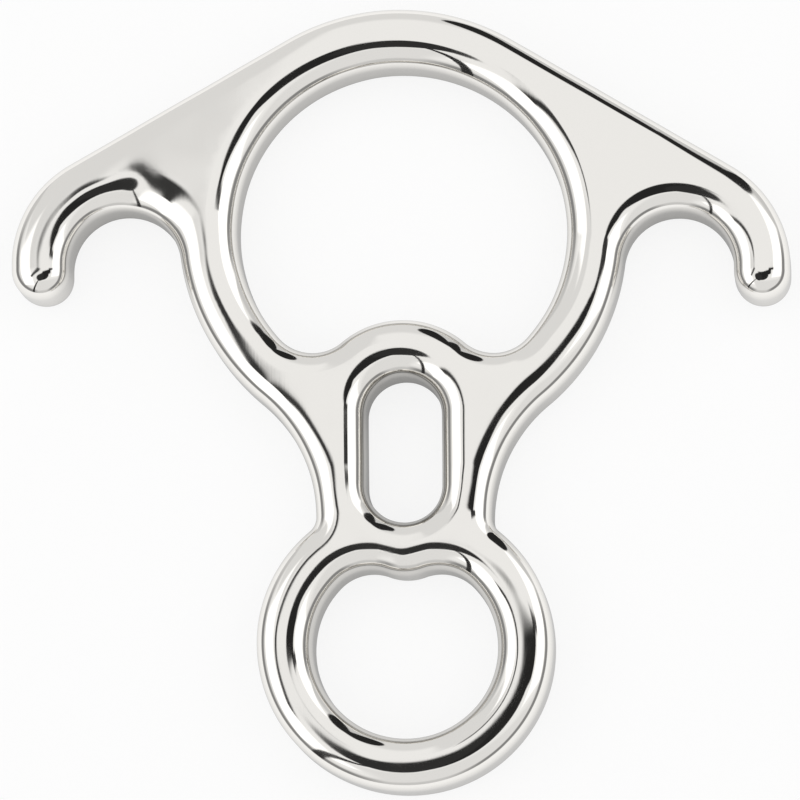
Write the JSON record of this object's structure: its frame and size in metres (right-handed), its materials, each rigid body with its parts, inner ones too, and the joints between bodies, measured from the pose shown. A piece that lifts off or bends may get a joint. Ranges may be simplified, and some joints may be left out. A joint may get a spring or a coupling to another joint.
{
  "type": "rescue figure-eight descender",
  "caption": "Mirror-polished steel figure-eight descender with a large rope eye, a slotted neck, a carabiner eye and bent horns that lock off the rope.",
  "frame": {"origin": "centre of the carabiner eye's circle, on the back face that the plate rests on", "axes": "+X to the right horn, +Y from the carabiner eye to the rope eye, +Z from the back face to the front face"},
  "size_m": [0.1406, 0.1426, 0.0125],
  "materials": {
    "polished_steel": "mirror polished, with light hand-polishing waves"
  },
  "bodies": {
    "root": {"descender_body": "polished_steel"}
  },
  "joints": []
}
